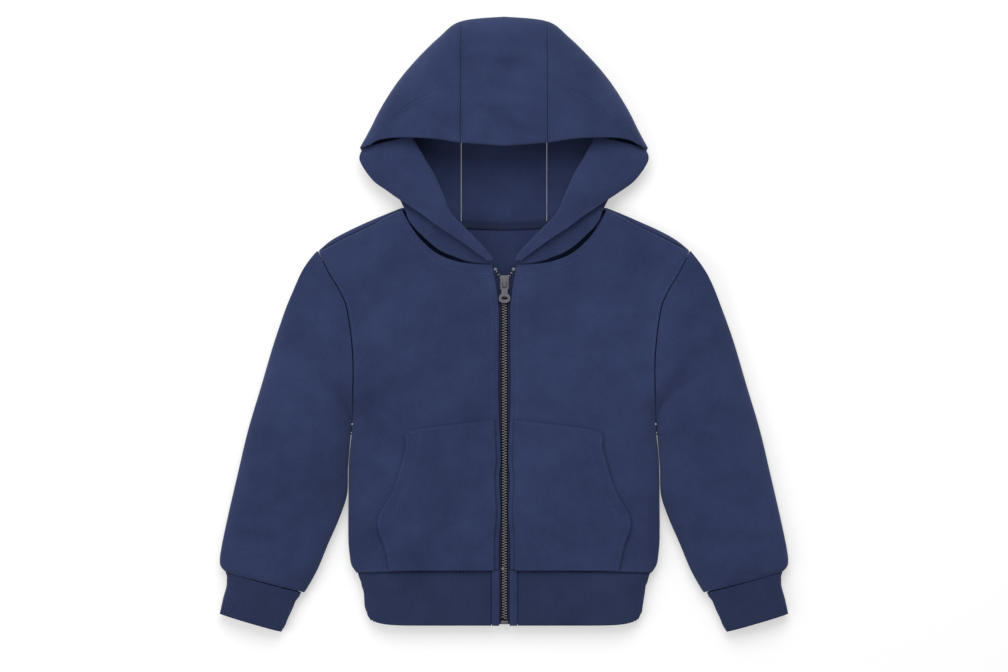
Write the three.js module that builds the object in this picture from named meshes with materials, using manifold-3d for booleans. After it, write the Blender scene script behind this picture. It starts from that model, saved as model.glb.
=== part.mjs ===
// A toddler's zip-up hooded sweatshirt, laid flat on its back with the front up.
// Millimetres. X runs across the garment, Y from the hem to the hood, Z up from the table.
// Left is the side at -X. Every cloth piece is a wall through a surface worked out from its sections.

import * as THREE from 'three';
import Module from 'manifold-3d';

const wasm = await Module();
wasm.setup();

// ---------- Driving sizes ----------

const CLOTH = 2.0; // wall of the sweatshirt fleece
const RIB_WALL = 2.6; // wall of the rib, knitted double
const TAPE_WALL = 1.0; // wall of woven tape
const SEAM = 0.35; // open width of each seam
const SHOULDER_SEAM = 1.3; // open width of the shoulder seam along the curved cloth
const ARM_SEAM = 1.0; // open width of the armhole seam in plan, where facets curve most
const FOLD_Z = 9; // height of the widest line of each side fold
const TOP_ROUND = 25; // distance over which the upper layer rises from a fold
const UNDER_ROUND = 14; // distance over which the under layer comes down from a fold
const ARMPIT_Y = -94; // height on the garment where sleeve and side part
const PIT_RISE = 5; // least rise of the sleeve's top over its armhole folds
const PIT_FALL = 0.7; // least share of the fold's height that its under layer comes down
const PIT_FLARE = 0.02; // how fast the side fold dies out above the armpit
const SHOULDER_COS = 0.885; // cosine of the shoulder's slope
const HEM_Y = -232.7; // rib seam at the zip
const HEM_BOW = 3.1; // drop of the rib seam from the zip to the sides
const RIB_END_Y = -286; // bottom edge of the waist rib
const ZIP_X = 0.5; // the zip's centre line
const CHAIN_HALF = 1.45; // half width of one side of the zip chain
const CHAIN_DROP = 2.4; // depth of the chain's top under the face of the fronts
const CHAIN_DEEP = 2.6; // thickness of the chain
const TAPE_WIDE = 8; // width of each zip tape
const HOOD_FOLD_Z = 12; // height of the hood's outer fold
const HOOD_ROUND = 15; // distance over which the hood's under layer comes down
const ROLL = 3.4; // radius of the roll at the hood's turned-back edge

// ---------- Tables: one row for each section ----------

// Crown of the front layer over the table, from the neck to the rib.
const CROWN = [
  { y: 115, z: 22 },
  { y: 50, z: 22 },
  { y: -60, z: 24 },
  { y: -170, z: 22 },
  { y: -236, z: 18.5 },
];

// Side fold of the body from the armpit to the rib seam.
const SIDE = [
  { y: -94, x: 144 },
  { y: -130, x: 147.6 },
  { y: -165, x: 148.1 },
  { y: -205, x: 148.2 },
  { y: -220, x: 146.9 },
  { y: -229, x: 145.2 },
  { y: -236, x: 140.7 },
];

// Armhole seam from the shoulder tip to the armpit.
const ARMHOLE = [
  { y: 70.3, x: 177 },
  { y: 59.4, x: 171 },
  { y: 47, x: 164.4 },
  { y: 33.7, x: 156.3 },
  { y: 19.5, x: 149.6 },
  { y: 6.2, x: 146.8 },
  { y: -10.9, x: 144.4 },
  { y: -33.7, x: 142.6 },
  { y: -60.3, x: 142.6 },
  { y: -94, x: 144 },
];

// Shoulder fold from the neck to the tip, and how far inside it the front shoulder seam lies.
const SHOULDER = [
  { x: 97.5, y: 111.4, inset: 2.3 },
  { x: 110, y: 106.4, inset: 2.3 },
  { x: 127, y: 99.2, inset: 4.6 },
  { x: 148, y: 89.6, inset: 5 },
  { x: 165, y: 80.2, inset: 4.4 },
  { x: 177, y: 70.3, inset: 1 },
];

// Front neck seam from the zip to the shoulder.
const NECK = [
  { x: 12, y: 56.5 },
  { x: 31, y: 57.5 },
  { x: 47, y: 60.3 },
  { x: 65, y: 67.9 },
  { x: 81, y: 82.2 },
  { x: 92, y: 98.3 },
  { x: 97.5, y: 108.8 },
];

// Back neck seam from the centre to the shoulder, on the cloth rolled out flat.
const BACK_NECK = [
  { x: 0, y: 93.6 },
  { x: 41.3, y: 95.5 },
  { x: 60, y: 98.5 },
  { x: 78, y: 104.5 },
  { x: 88, y: 111 },
  { x: 97.5, y: 125.7 },
];

// Folded front edges beside the zip: half the open gap over the teeth.
const ZIP_GAP = [
  { y: 57, half: 11 },
  { y: 46, half: 8.6 },
  { y: 33, half: 6.4 },
  { y: 16, half: 4.6 },
  { y: -72, half: 4.8 },
  { y: -130, half: 2.6 },
  { y: -145, half: 4.2 },
  { y: -178, half: 2.6 },
  { y: -207, half: 4.4 },
  { y: -236, half: 4.6 },
];

// Sleeve from the armhole to the rib seam: its outer edge, its underarm edge and its height.
const SLEEVE = [
  { outX: 177.35, outY: 70, inX: 144.7, inY: -94, high: 24 },
  { outX: 192.5, outY: 48, inX: 145.2, inY: -99, high: 26 },
  { outX: 206, outY: 18, inX: 145.9, inY: -107, high: 27 },
  { outX: 218.8, outY: -17, inX: 147, inY: -119, high: 27 },
  { outX: 231, outY: -58, inX: 148.4, inY: -138, high: 27 },
  { outX: 243.8, outY: -101, inX: 149.4, inY: -162, high: 26 },
  { outX: 254, outY: -144, inX: 157, inY: -185, high: 25 },
  { outX: 263, outY: -183, inX: 166.6, inY: -207, high: 24 },
  { outX: 269.4, outY: -214, inX: 177, inY: -232, high: 23 },
  { outX: 270.4, outY: -228, inX: 185.6, inY: -248, high: 22 },
  { outX: 266, outY: -234.6, inX: 190, inY: -254.8, high: 19 },
];

// Rib cuff from its seam to its end.
const CUFF = [
  { outX: 264.8, outY: -235.3, inX: 192.8, inY: -255.4, high: 19 },
  { outX: 263.8, outY: -246, inX: 199.6, inY: -266, high: 19 },
  { outX: 267.6, outY: -261, inX: 205, inY: -279, high: 18.5 },
  { outX: 270.9, outY: -275, inX: 211.6, inY: -292.4, high: 18 },
];

// Waist rib from its seam to its bottom edge: side fold and height.
const WAIST = [
  { y: -236.4, x: 139.6, high: 17.6 },
  { y: -253, x: 134.6, high: 17.6 },
  { y: -272, x: 132.2, high: 17.2 },
  { y: -286, x: 127.5, high: 16.6 },
];

// Free edge of a pocket, from the zip round to the rib seam.
const POCKET = [
  { x: 11.5, y: -90.7 },
  { x: 50.8, y: -95 },
  { x: 90, y: -101.6 },
  { x: 94, y: -119.8 },
  { x: 105, y: -155.3 },
  { x: 120, y: -185 },
  { x: 113.5, y: -209.5 },
  { x: 109, y: -231 },
];

// The hood from its centre to its corner: the brim, the crown fold and the end of the under layer.
const HOOD = [
  { brimX: 0, brimY: 167.7, foldX: 0, foldY: 292.8, rearX: 0, rearY: 94.5, high: 46 },
  { brimX: 41, brimY: 170.8, foldX: 41, foldY: 288.4, rearX: 41, rearY: 97.2, high: 47 },
  { brimX: 60, brimY: 173.8, foldX: 62, foldY: 273, rearX: 59.5, rearY: 101.8, high: 45 },
  { brimX: 77, brimY: 175.5, foldX: 84, foldY: 251.3, rearX: 76, rearY: 108.8, high: 42 },
  { brimX: 94, brimY: 176.2, foldX: 102, foldY: 229.6, rearX: 95, rearY: 117.5, high: 38 },
  { brimX: 108, brimY: 176, foldX: 117, foldY: 206, rearX: 107, rearY: 126, high: 33 },
  { brimX: 120, brimY: 174, foldX: 128, foldY: 184.5, rearX: 118, rearY: 135, high: 27 },
  { brimX: 127, brimY: 170, foldX: 137, foldY: 168, rearX: 126, rearY: 144, high: 23 },
];
const HOOD_SEAM = 1 / 7; // place of the centre panel's seam among the rows of HOOD

// The hood's turned-back side from its corner to the zip: free edge, roll and foot.
const TURN = [
  { edgeX: 136.5, edgeY: 157, edgeZ: 19, rollX: 84, rollY: 160, rollZ: 25, footX: 122, footY: 151, footZ: 4 },
  { edgeX: 125, edgeY: 137.4, edgeZ: 18, rollX: 70, rollY: 143, rollZ: 28, footX: 112, footY: 138, footZ: 4 },
  { edgeX: 109, edgeY: 125.4, edgeZ: 19, rollX: 62, rollY: 124, rollZ: 30, footX: 101, footY: 123, footZ: 6 },
  { edgeX: 94.5, edgeY: 115.6, edgeZ: 22, rollX: 55, rollY: 108, rollZ: 31, footX: 93.5, footY: 108, footZ: 14 },
  { edgeX: 80, edgeY: 106, edgeZ: 29, rollX: 49, rollY: 100.5, rollZ: 31, footX: 88.7, footY: 97, footZ: 19 },
  { edgeX: 61, edgeY: 92, edgeZ: 34, rollX: 41, rollY: 92.5, rollZ: 31, footX: 77, footY: 84.4, footZ: 20 },
  { edgeX: 43.5, edgeY: 80.5, edgeZ: 34, rollX: 32, rollY: 83, rollZ: 30, footX: 61.4, footY: 71.4, footZ: 20 },
  { edgeX: 31, edgeY: 71.5, edgeZ: 32, rollX: 23.5, rollY: 73.5, rollZ: 28.5, footX: 45, footY: 64.2, footZ: 20 },
  { edgeX: 21.5, edgeY: 64.5, edgeZ: 29.5, rollX: 17.5, rollY: 66, rollZ: 26, footX: 31, footY: 60, footZ: 20 },
  { edgeX: 15, edgeY: 60.4, edgeZ: 28, rollX: 13.6, rollY: 60.6, rollZ: 24, footX: 16.4, footY: 58.8, footZ: 20 },
];

// ---------- Small maths ----------

const clamp = (value, low, high) => Math.min(Math.max(value, low), high);
const mix = (a, b, t) => a + (b - a) * t;
const smooth = (t) => clamp(t, 0, 1) ** 2 * (3 - 2 * clamp(t, 0, 1));
/** Rise of a quarter circle, from 0 at a fold to 1 at and past its far end. */
const round = (t) => Math.sqrt(1 - (1 - clamp(t, 0, 1)) ** 2);
/** Even stations from 0 to 1. */
const even = (count) => Array.from({ length: count + 1 }, (_, i) => i / count);
/** Stations from 0 to 1 that gather at both ends. */
const gathered = (count) => even(count).map((t) => (1 - Math.cos(Math.PI * t)) / 2);
/** Stations from 0 to 1 that gather at the far end. */
const gatheredLast = (count) => even(count).map((t) => Math.sin((Math.PI * t) / 2));

/** A cubic from a to b over a span of one, with the slopes given at both ends. */
function hermite(a, slopeA, b, slopeB, t) {
  const s = t * t * (3 - 2 * t);
  return a + (b - a) * s + slopeA * t * (1 - t) ** 2 - slopeB * t * t * (1 - t);
}

/** A row between the rows of a table, at a place from 0 to 1, with every column smoothed. */
function between(table, place) {
  const last = table.length - 1;
  const at = clamp(place, 0, 1) * last;
  const i = Math.min(Math.floor(at), last - 1);
  const row = {};
  for (const name of Object.keys(table[0])) {
    const [a, b, c, d] = [i - 1, i, i + 1, i + 2].map((k) => table[clamp(k, 0, last)][name]);
    row[name] = hermite(b, (c - a) / 2, c, (d - b) / 2, at - i);
  }
  return row;
}

/** The value of one column where another column reaches a value. */
function along(table, key, column, value) {
  const rows = table[0][key] < table[table.length - 1][key] ? table : [...table].reverse();
  const last = rows.length - 1;
  const after = rows.findIndex((row) => row[key] > value);
  const i = after < 0 ? last - 1 : clamp(after - 1, 0, last - 1);
  const slope = (k) => {
    const [a, b] = [rows[Math.max(k - 1, 0)], rows[Math.min(k + 1, last)]];
    return (b[column] - a[column]) / (b[key] - a[key]);
  };
  const span = rows[i + 1][key] - rows[i][key];
  const t = clamp((value - rows[i][key]) / span, 0, 1);
  return hermite(rows[i][column], slope(i) * span, rows[i + 1][column], slope(i + 1) * span, t);
}

/** A patch in plan between four edges: top and foot run across, near and far run down. */
function patch(top, foot, near, far, u, v) {
  const [t, f, n, r] = [top(u), foot(u), near(v), far(v)];
  const corners = [top(0), top(1), foot(0), foot(1)];
  return [0, 1].map(
    (k) =>
      (1 - v) * t[k] + v * f[k] + (1 - u) * n[k] + u * r[k] -
      ((1 - u) * (1 - v) * corners[0][k] + u * (1 - v) * corners[1][k] +
        (1 - u) * v * corners[2][k] + u * v * corners[3][k]),
  );
}

// ---------- Solids ----------

/**
 * A closed wall behind the surface (u, v) -> [x, y, z]. `facing` is a place on it and the
 * sign of its outward normal's z there. With `around`, the last v station meets the first.
 */
function wallOf(surface, us, vs, wall, facing, around = false) {
  const near = 1e-4;
  const at = (u, v) => new THREE.Vector3(...surface(u, v));
  const normal = (u, v) => {
    const [lowV, highV] = around ? [v - near, v + near] : [Math.max(v - near, 0), Math.min(v + near, 1)];
    const du = at(Math.min(u + near, 1), v).sub(at(Math.max(u - near, 0), v));
    return du.cross(at(u, highV).sub(at(u, lowV))).normalize();
  };
  const [probeU, probeV, probeSign] = facing;
  const sign = Math.sign(normal(probeU, probeV).z) * probeSign;
  const positions = [];
  for (const depth of [0, wall]) {
    for (const u of us) {
      for (const v of vs) {
        positions.push(...at(u, v).addScaledVector(normal(u, v), -sign * depth).toArray());
      }
    }
  }
  const layer = us.length * vs.length;
  const index = [];
  const id = (i, j, inner) => inner * layer + i * vs.length + (j % vs.length);
  const face = (a, b, c) => index.push(...(sign > 0 ? [a, b, c] : [a, c, b]));
  const rim = (i, j, m, n) => {
    face(id(m, n, 0), id(i, j, 0), id(i, j, 1));
    face(id(m, n, 0), id(i, j, 1), id(m, n, 1));
  };
  const lastU = us.length - 1;
  const lastV = around ? vs.length : vs.length - 1;
  for (let j = 0; j < lastV; j += 1) {
    for (let i = 0; i < lastU; i += 1) {
      const outer = [id(i, j, 0), id(i + 1, j, 0), id(i + 1, j + 1, 0), id(i, j + 1, 0)];
      const inner = outer.map((k) => k + layer);
      face(outer[0], outer[1], outer[2]);
      face(outer[0], outer[2], outer[3]);
      face(inner[0], inner[2], inner[1]);
      face(inner[0], inner[3], inner[2]);
    }
    rim(0, j + 1, 0, j);
    rim(lastU, j, lastU, j + 1);
  }
  if (!around) {
    for (let i = 0; i < lastU; i += 1) {
      rim(i, 0, i + 1, 0);
      rim(i + 1, lastV, i, lastV);
    }
  }
  const geometry = new THREE.BufferGeometry();
  geometry.setAttribute('position', new THREE.Float32BufferAttribute(positions, 3));
  geometry.setIndex(index);
  return geometry;
}

/** The closed geometry as a solid that can be joined or cut. */
function solid(geometry) {
  const mesh = new wasm.Mesh({
    numProp: 3,
    vertProperties: Float32Array.from(geometry.attributes.position.array),
    triVerts: Uint32Array.from(geometry.index.array),
  });
  return new wasm.Manifold(mesh);
}

/** The joined or cut solid as geometry. */
function geometryOf(body) {
  const mesh = body.getMesh();
  const geometry = new THREE.BufferGeometry();
  geometry.setAttribute('position', new THREE.Float32BufferAttribute(mesh.vertProperties, 3));
  geometry.setIndex(new THREE.Uint32BufferAttribute(mesh.triVerts, 1));
  return geometry;
}

/** A closed box from its low corner to its high corner, with shared corner points. */
function block(low, high) {
  const corner = (i) => [i & 1 ? high[0] : low[0], i & 2 ? high[1] : low[1], i & 4 ? high[2] : low[2]];
  const geometry = new THREE.BufferGeometry();
  const points = [0, 1, 2, 3, 4, 5, 6, 7].flatMap(corner);
  geometry.setAttribute('position', new THREE.Float32BufferAttribute(points, 3));
  const sides = [[0, 2, 3, 1], [4, 5, 7, 6], [0, 1, 5, 4], [2, 6, 7, 3], [0, 4, 6, 2], [1, 3, 7, 5]];
  geometry.setIndex(sides.flatMap(([a, b, c, d]) => [a, b, c, a, c, d]));
  return geometry;
}

// ---------- Finishes ----------

const FLEECE = { color: 0x242f52, roughness: 0.95, metalness: 0 };
const RIB = { color: 0x1f2947, roughness: 0.97, metalness: 0 };
const TAPE = { color: 0x1b2340, roughness: 0.9, metalness: 0 };
const METAL = { color: 0x55565c, roughness: 0.4, metalness: 0.9 };

const garment = new THREE.Group();

/** Adds one named piece with its own material. */
function add(name, geometry, finish) {
  const mesh = new THREE.Mesh(geometry, new THREE.MeshStandardMaterial(finish));
  mesh.name = name;
  garment.add(mesh);
}

const SIDES = [{ word: 'left', sign: -1 }, { word: 'right', sign: 1 }];

// ---------- The body's two layers ----------

const crownAt = (y) => along(CROWN, 'y', 'z', y);
const shoulderY = (x) => along(SHOULDER, 'x', 'y', Math.abs(x));

/** Distance in plan from the side fold, which dies out above the armpit. */
function fromSide(x, y) {
  const fade = PIT_FLARE * Math.max(y - ARMPIT_Y, 0) ** 2;
  return along(SIDE, 'y', 'x', Math.min(y, ARMPIT_Y)) + fade - Math.abs(x);
}

/** Distance in plan from the shoulder fold. */
const fromShoulder = (x, y) => (shoulderY(x) - y) * SHOULDER_COS;

/** Height of the front layer's face. */
function frontZ(x, y) {
  const rise = round(fromSide(x, y) / TOP_ROUND) * round(fromShoulder(x, y) / TOP_ROUND);
  return mix(FOLD_Z, crownAt(y), rise);
}

/** Height of the under layer's face, which is flat on the table inside its folds. */
function underZ(x, y) {
  const fall = round(fromSide(x, y) / UNDER_ROUND) * round(fromShoulder(x, y) / UNDER_ROUND);
  return mix(FOLD_Z, 0, fall);
}

const hemY = (x) => HEM_Y - HEM_BOW * (x / SIDE[SIDE.length - 1].x) ** 2;
const sideEnd = SIDE[SIDE.length - 1];
const neckEnd = NECK[NECK.length - 1];
const tip = SHOULDER[SHOULDER.length - 1];
const NECK_SHARE = 0.55; // share of the top edge that is neck, the rest is shoulder
const ARM_SHARE = 0.55; // share of the side edge that is armhole

/** Front shoulder seam, at a place x along the shoulder. */
const shoulderSeamY = (x) => shoulderY(x) - along(SHOULDER, 'x', 'inset', x) / SHOULDER_COS;

/** Side edge of a panel: the armhole, then the side fold. */
function sideEdge(v) {
  if (v < ARM_SHARE) {
    const y = mix(shoulderSeamY(tip.x), ARMPIT_Y, v / ARM_SHARE);
    return [along(ARMHOLE, 'y', 'x', y), y];
  }
  const y = mix(ARMPIT_Y, sideEnd.y, (v - ARM_SHARE) / (1 - ARM_SHARE));
  return [along(SIDE, 'y', 'x', y), y];
}

/** Top edge of a front: the neck seam, then the shoulder seam. */
function frontTop(u) {
  if (u < NECK_SHARE) {
    const row = between(NECK, u / NECK_SHARE);
    return [row.x, row.y];
  }
  const x = mix(neckEnd.x, tip.x, (u - NECK_SHARE) / (1 - NECK_SHARE));
  return [x, shoulderSeamY(x)];
}

/** Folded edge of a front beside the zip. */
function frontFold(v) {
  const y = mix(NECK[0].y, HEM_Y, v);
  return [ZIP_GAP[0].half + 1 - (ZIP_GAP[0].half - along(ZIP_GAP, 'y', 'half', y)), y];
}

const frontFoot = (u) => {
  const x = mix(frontFold(1)[0], sideEnd.x, u);
  return [x, hemY(x)];
};

const frontPlan = (u, v) => patch(frontTop, frontFoot, frontFold, sideEdge, u, v);

for (const { word, sign } of SIDES) {
  const surface = (u, v) => {
    const [x, y] = frontPlan(u, v);
    return [sign * x + (1 - u) * ZIP_X, y, frontZ(x, y) + SEAM / 2];
  };
  add(`front_${word}`, wallOf(surface, gatheredLast(9), even(16), CLOTH, [0.5, 0.5, 1]), FLEECE);
}

// The back is worked out rolled flat: above the shoulder fold it turns over to the front seam.
const UNDER_ARC = (Math.PI / 2) * Math.hypot(UNDER_ROUND, FOLD_Z) * Math.SQRT1_2;
const TOP_ARC = (Math.PI / 2) * Math.hypot(TOP_ROUND, crownAt(SHOULDER[2].y) - FOLD_Z) * Math.SQRT1_2;
const UNDER_SPARE = UNDER_ARC - UNDER_ROUND; // cloth taken up by the turn at the fold

/** Height on the rolled-out back where the shoulder seam lies. */
function backShoulderY(x) {
  const angle = Math.acos(1 - along(SHOULDER, 'x', 'inset', x) / TOP_ROUND);
  const arc = (TOP_ARC * angle) / (Math.PI / 2) - SHOULDER_SEAM;
  return shoulderY(x) + (arc + UNDER_SPARE) / SHOULDER_COS;
}

function backTop(u) {
  if (u < NECK_SHARE) {
    const row = between(BACK_NECK, u / NECK_SHARE);
    return [row.x, row.y];
  }
  const x = mix(neckEnd.x, tip.x, (u - NECK_SHARE) / (1 - NECK_SHARE));
  return [x, backShoulderY(x)];
}

/** A point of the rolled-out back, laid in its place. */
function laidBack(x, y) {
  const arc = (shoulderY(x) - y) * SHOULDER_COS + UNDER_SPARE;
  if (arc >= UNDER_ARC) return [x, y, underZ(x, y) - SEAM / 2];
  const over = arc < 0;
  const angle = (Math.PI / 2) * (over ? -arc / TOP_ARC : arc / UNDER_ARC);
  const reach = (over ? TOP_ROUND : UNDER_ROUND) * (1 - Math.cos(angle));
  const rise = over ? mix(FOLD_Z, crownAt(y), Math.sin(angle)) : mix(FOLD_Z, 0, Math.sin(angle));
  return [x, shoulderY(x) - reach / SHOULDER_COS, rise];
}

/** The back over one half, from its centre line to its side. */
function backHalf(u, v) {
  const near = (t) => [0, mix(BACK_NECK[0].y, HEM_Y, t)];
  const foot = (t) => [t * sideEnd.x, hemY(t * sideEnd.x)];
  const far = (t) => {
    const [x, y] = sideEdge(t);
    return [x, y + (backTop(1)[1] - sideEdge(0)[1]) * (1 - smooth(t / 0.12))];
  };
  return patch(backTop, foot, near, far, u, v);
}

const backSurface = (u, v) => {
  const s = 2 * u - 1;
  const [x, y] = backHalf(Math.abs(s), v);
  const [, laidY, z] = laidBack(x, y);
  return [Math.sign(s) * x, laidY, z];
};
const shoulderRows = [0, 0.014, 0.03, 0.046];
const backRows = [...shoulderRows, ...even(16).slice(1)];
const halfStations = gatheredLast(8);
const backColumns = [...halfStations.slice(1).reverse().map((s) => (1 - s) / 2), ...halfStations.map((s) => (1 + s) / 2)];
add('back', wallOf(backSurface, backColumns, backRows, CLOTH, [0.5, 0.5, -1]), FLEECE);

// ---------- Sleeves, cuffs and waist rib ----------

/**
 * A flattened tube through the rows of a table. Going round, the first half runs over the
 * top from the outer edge to the inner edge, and the second half comes back underneath.
 */
function flatTube(table, sign, armhole) {
  return (u, v) => {
    const turn = ((v % 1) + 1) % 1;
    const over = turn < 0.5;
    const s = (1 - Math.cos(2 * Math.PI * turn)) / 2;
    const row = between(table, u);
    let x = mix(row.outX, row.inX, s);
    const y = mix(row.outY, row.inY, s);
    const wide = Math.hypot(row.outX - row.inX, row.outY - row.inY);
    const settled = armhole ? smooth(u / 0.35) : 1;
    if (armhole) {
      const seamY = mix(table[0].outY, table[0].inY, s);
      const chordX = mix(table[0].outX, table[0].inX, s);
      x += (along(ARMHOLE, 'y', 'x', seamY) + ARM_SEAM - chordX) * (1 - settled);
    }
    const swell = (1 - Math.abs(2 * s - 1) ** 2.4) ** 0.5;
    const edge = Math.min(s, 1 - s) * wide;
    const tubeZ = over ? mix(FOLD_Z, row.high, swell) : mix(FOLD_Z, 0, round(edge / UNDER_ROUND));
    const fall = round(edge / UNDER_ROUND);
    const bodyZ = over
      ? Math.max(frontZ(x - ARM_SEAM, y), FOLD_Z + PIT_RISE * swell)
      : Math.min(underZ(x - ARM_SEAM, y), FOLD_Z * (1 - PIT_FALL * fall));
    return [sign * x, y, mix(bodyZ, tubeZ, settled)];
  };
}

for (const { word, sign } of SIDES) {
  const ring = even(22).slice(0, -1);
  const sleeve = flatTube(SLEEVE, sign, true);
  add(`sleeve_${word}`, wallOf(sleeve, even(10), ring, CLOTH, [0.5, 0.25, 1], true), FLEECE);
  const cuff = flatTube(CUFF, sign, false);
  add(`cuff_${word}`, wallOf(cuff, even(3), ring, RIB_WALL, [0.5, 0.25, 1], true), RIB);
}

/** The waist rib, from the left of the zip round the back to the right of the zip. */
function waistSurface(u, v) {
  const row = between(WAIST, u);
  const quarter = clamp(v, 0, 1) * 4;
  const over = quarter < 1 || quarter > 3;
  const sign = quarter < 2 ? -1 : 1;
  const place = quarter < 2 ? quarter : 4 - quarter;
  const s = over ? Math.sin((Math.PI / 2) * Math.min(place, 1)) : Math.cos((Math.PI / 2) * (place - 1));
  const start = over ? RIB_TAB_OUT : 0;
  const x = mix(start, row.x, s);
  const y = row.y + (HEM_BOW - HEM_BOW * (x / sideEnd.x) ** 2) * (1 - u) + CORNER_LIFT * u ** 4 * (x / row.x) ** 12;
  const edge = row.x - x;
  const z = over ? mix(FOLD_Z, row.high, round(edge / TOP_ROUND)) : mix(FOLD_Z, 0, round(edge / UNDER_ROUND));
  return [sign * x + (over ? ZIP_X * (1 - s) : 0), y, z];
}
const RIB_TAB_OUT = 12.6; // outer edge of the plain strip between the rib and the zip
const RIB_TAB_IN = 4.9; // its inner edge
const CORNER_LIFT = 5; // rounding of the rib's bottom corners

const waistStations = even(36);
add('waist_rib', wallOf(waistSurface, even(4), waistStations, RIB_WALL, [0.5, 0.5, -1]), RIB);

for (const { word, sign } of SIDES) {
  const strip = (u, v) => {
    const row = between(WAIST, u);
    const x = mix(RIB_TAB_IN, RIB_TAB_OUT - SEAM, v);
    return [sign * x + ZIP_X, row.y + HEM_BOW * (1 - u), row.high + 0.4];
  };
  add(`rib_strip_${word}`, wallOf(strip, even(3), even(1), CLOTH, [0.5, 0.5, 1]), FLEECE);
}

// ---------- Pockets, made from the points of the fronts, moved out ----------

for (const { word, sign } of SIDES) {
  const foldX = (y) => along(ZIP_GAP, 'y', 'half', y) + 5.6;
  const surface = (u, v) => {
    const outline = between(POCKET, mix(2 / 7, 1, v));
    const top = between(POCKET, (2 / 7) * u);
    const y = mix(top.y, outline.y + (top.y - POCKET[2].y) * (1 - v), v);
    const rowY = v === 0 ? top.y : mix(top.y, hemY(outline.x) + 1.2, (POCKET[2].y - outline.y) / (POCKET[2].y - POCKET[7].y));
    const x = mix(foldX(Math.min(y, POCKET[0].y)), outline.x, u);
    return [sign * x + (1 - u) * ZIP_X, rowY, frontZ(x, rowY) + SEAM / 2 + SEAM + CLOTH];
  };
  add(`pocket_${word}`, wallOf(surface, even(6), even(8), CLOTH, [0.5, 0.5, 1]), FLEECE);
}

// ---------- Hood ----------

const HOOD_SPLIT = 0.5; // share of each hood path that lies over the top

/** The hood's sheet: u from the centre to the corner, v from the brim over the fold to the neck. */
function hoodSurface(u, v) {
  const row = between(HOOD, u);
  const foldZ = mix(HOOD_FOLD_Z, 11, u);
  if (v < HOOD_SPLIT) {
    const angle = (Math.PI / 2) * (1 - v / HOOD_SPLIT);
    const t = 1 - Math.cos(angle);
    return [
      mix(row.foldX, row.brimX, t),
      mix(row.foldY, row.brimY, t),
      mix(foldZ, row.high, Math.sin(angle) ** 0.9),
    ];
  }
  const far = Math.hypot(row.rearX - row.foldX, row.rearY - row.foldY);
  const turn = HOOD_ROUND / far;
  const w = (v - HOOD_SPLIT) / (1 - HOOD_SPLIT);
  const bend = 0.4;
  const angle = (Math.PI / 2) * Math.min(w / bend, 1);
  const t = w < bend ? turn * (1 - Math.cos(angle)) : mix(turn, 1, (w - bend) / (1 - bend));
  const x = mix(row.foldX, row.rearX, t);
  const y = mix(row.foldY, row.rearY, t);
  const lift = underZ(x, Math.min(y, shoulderY(x))) * (x < 97 ? smooth(1 - (y - row.rearY) / 20) : 0);
  return [x, y, w < bend ? foldZ * (1 - Math.sin(angle)) : Math.max(lift, 0)];
}

/** The hood's side turned back: u from the corner to the zip, v from free edge over the roll to foot. */
function turnSurface(u, v) {
  const row = between(TURN, u);
  const [over, under] = [0.4, 0.62];
  const reachX = row.rollX - row.edgeX;
  const reachY = row.rollY - row.edgeY;
  const long = Math.hypot(reachX, reachY);
  if (v < over) {
    const t = v / over;
    const rise = Math.sin((Math.PI / 2) * t);
    return [row.edgeX + reachX * t, row.edgeY + reachY * t, mix(row.edgeZ, row.rollZ + ROLL, rise)];
  }
  if (v < under) {
    const angle = Math.PI * ((v - over) / (under - over));
    const out = (ROLL * Math.sin(angle)) / long;
    return [row.rollX + reachX * out, row.rollY + reachY * out, row.rollZ + ROLL * Math.cos(angle)];
  }
  const t = (v - under) / (1 - under);
  return [
    mix(row.rollX, row.footX, t),
    mix(row.rollY, row.footY, t),
    mix(row.rollZ - ROLL, row.footZ, t),
  ];
}

const hoodRows = [...even(7).map((t) => t * HOOD_SPLIT), ...[0.1, 0.2, 0.3, 0.4, 0.6, 0.8, 1].map((w) => mix(HOOD_SPLIT, 1, w))];
const centreSurface = (u, v) => {
  const s = 2 * u - 1;
  const [x, y, z] = hoodSurface(Math.abs(s) * HOOD_SEAM, v);
  return [Math.sign(s) * x * ((41 - SEAM) / 41), y, z];
};
add('hood_centre', wallOf(centreSurface, even(4), hoodRows, CLOTH, [0.5, 0, 1]), FLEECE);

for (const { word, sign } of SIDES) {
  const sheet = (u, v) => {
    const [x, y, z] = hoodSurface(mix(HOOD_SEAM, 1, u), v);
    return [sign * x, y, z];
  };
  const turned = (u, v) => {
    const [x, y, z] = turnSurface(u, v);
    return [sign * x, y, z];
  };
  const turnRows = [0, 0.2, 0.4, 0.455, 0.51, 0.565, 0.62, 0.8, 1];
  add(`hood_${word}`, wallOf(sheet, even(7), hoodRows, CLOTH, [0.2, 0, 1]), FLEECE);
  add(`hood_turn_${word}`, wallOf(turned, even(14), turnRows, CLOTH, [0.5, 0.1, 1]), FLEECE);
}

// Tape over the back neck seam, inside.
const NECK_TAPE_HALF = 3.2; // half the width of the tape
const NECK_TAPE_REACH = 0.4; // how far along the back neck seam it runs from the centre
const neckTape = (u, v) => {
  const s = 2 * u - 1;
  const row = between(BACK_NECK, Math.abs(s) * NECK_TAPE_REACH);
  return [Math.sign(s) * row.x, row.y + mix(-NECK_TAPE_HALF, NECK_TAPE_HALF, v), CLOTH + 0.5 + TAPE_WALL + 0.5 * Math.abs(s)];
};
add('neck_tape', wallOf(neckTape, even(10), even(1), TAPE_WALL, [0.5, 0.5, 1]), TAPE);

// ---------- Zip ----------

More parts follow.
